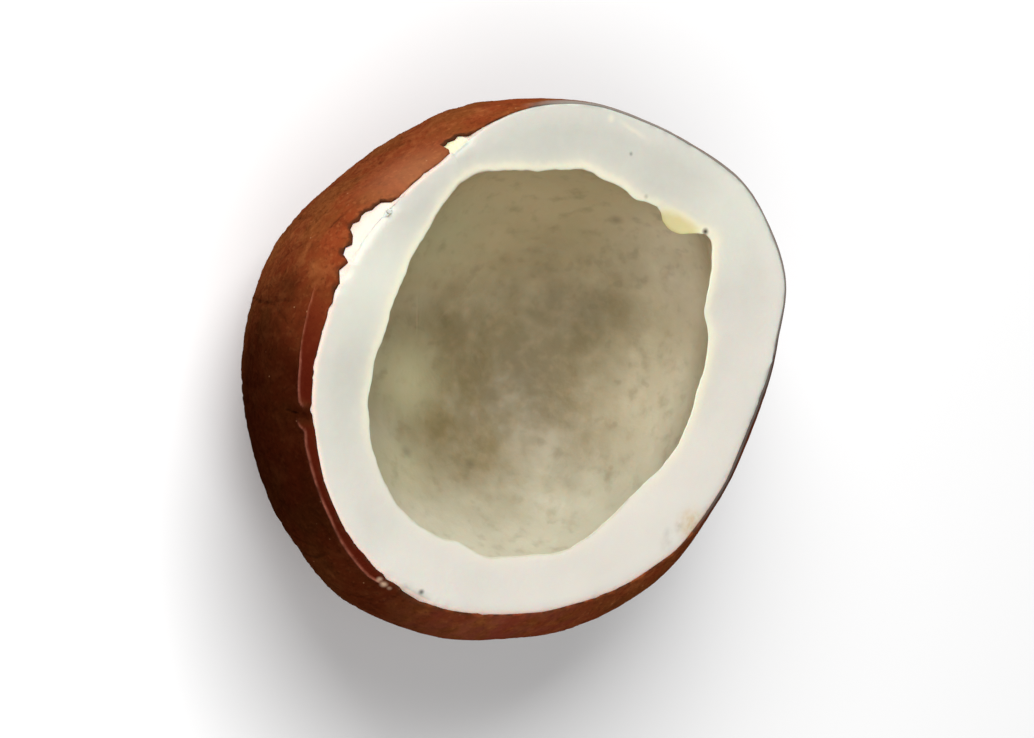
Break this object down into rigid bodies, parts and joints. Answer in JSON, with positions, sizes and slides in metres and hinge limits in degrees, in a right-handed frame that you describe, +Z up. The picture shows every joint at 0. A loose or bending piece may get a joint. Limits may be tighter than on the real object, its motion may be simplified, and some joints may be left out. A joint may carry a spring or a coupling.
{
  "type": "dried coconut half",
  "caption": "Half of a dried coconut kernel: thick white flesh in a thin brown skin round an open hollow, lying on its round back with the cut face up.",
  "frame": {"origin": "middle of the small flat spot on the round back that the half rests on", "axes": "+Z up, out of the open hollow, square to the cut face; +Y towards the thicker side of the flesh, which the picture's view shows far side up"},
  "size_m": [0.1034, 0.1067, 0.0554],
  "materials": {
    "flesh": "waxy white flesh, a little translucent, creamy along the hollow's edge, with an olive-grey lining in the hollow",
    "skin": "thin reddish-brown seed skin, dull with a soft sheen, wrinkled and veined, torn beside the cut"
  },
  "bodies": {
    "root": {"coconut_half": "flesh"}
  },
  "joints": []
}
